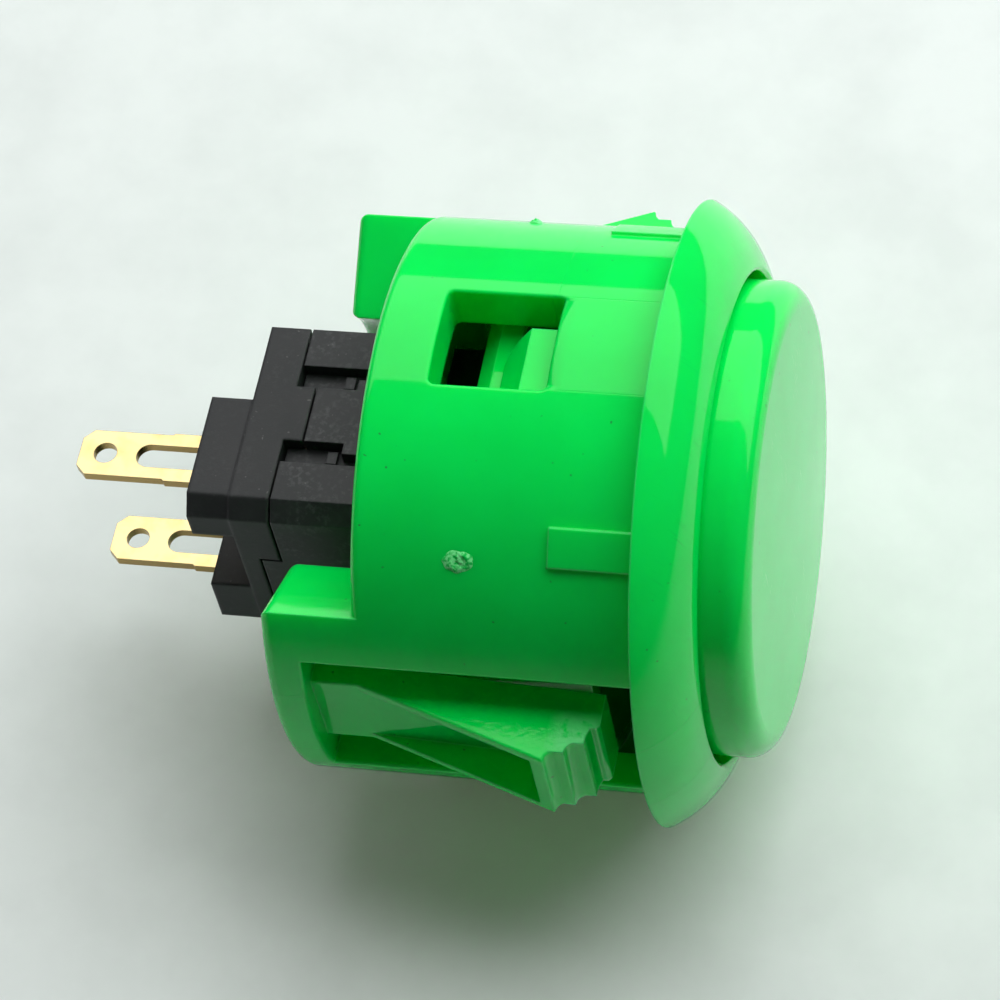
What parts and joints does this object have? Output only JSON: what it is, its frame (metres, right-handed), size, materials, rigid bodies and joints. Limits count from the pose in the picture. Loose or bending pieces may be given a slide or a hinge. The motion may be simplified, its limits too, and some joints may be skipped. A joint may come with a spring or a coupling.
{
  "type": "arcade push button",
  "caption": "Round snap-in arcade push button: green rimmed housing with sprung snap arms, green plunger, and a black micro-switch with gold blade terminals behind.",
  "frame": {"origin": "on the plunger's axis, in the plane of the rim's underside, where the panel's front face lies", "axes": "+Z out of the panel along the plunger's axis, snap arms on X, windows on Y"},
  "size_m": [0.0347, 0.0326, 0.0372],
  "materials": {
    "green_plastic": "glossy",
    "black_plastic": "matte",
    "gold_plate": "polished",
    "contact_silver": "satin",
    "bridge_brass": "satin",
    "spring_steel": "satin"
  },
  "bodies": {
    "case": {"housing": "green_plastic", "switch_base": "black_plastic", "switch_cover": "black_plastic", "terminal_near": "gold_plate", "terminal_far": "gold_plate", "fixed_contact_near": "contact_silver", "fixed_contact_far": "contact_silver", "return_spring": "spring_steel"},
    "plunger": {"plunger": "green_plastic"},
    "slider": {"switch_slider": "black_plastic", "contact_spring": "spring_steel"},
    "bridge": {"contact_bridge": "bridge_brass", "bridge_contact_near": "contact_silver", "bridge_contact_far": "contact_silver"}
  },
  "joints": [
    {"name": "plunger_press", "type": "slide", "parent": "case", "child": "plunger", "axis": [0, 0, -1], "range_m": [0, 0.002], "stiffness_N_per_m": 200, "springref_m": -0.0025},
    {"name": "slider_press", "type": "slide", "parent": "case", "child": "slider", "axis": [0, 0, -1], "range_m": [0, 0.002], "deforming": ["return_spring"]},
    {"name": "bridge_lift", "type": "slide", "parent": "slider", "child": "bridge", "axis": [0, 0, 1], "range_m": [0, 0.00106], "deforming": ["contact_spring"]}
  ],
  "couplings": [
    {"joint": "slider_press", "follows": "plunger_press", "ratio": 1},
    {"joint": "bridge_lift", "follows": "plunger_press", "ratio": 0.525}
  ]
}
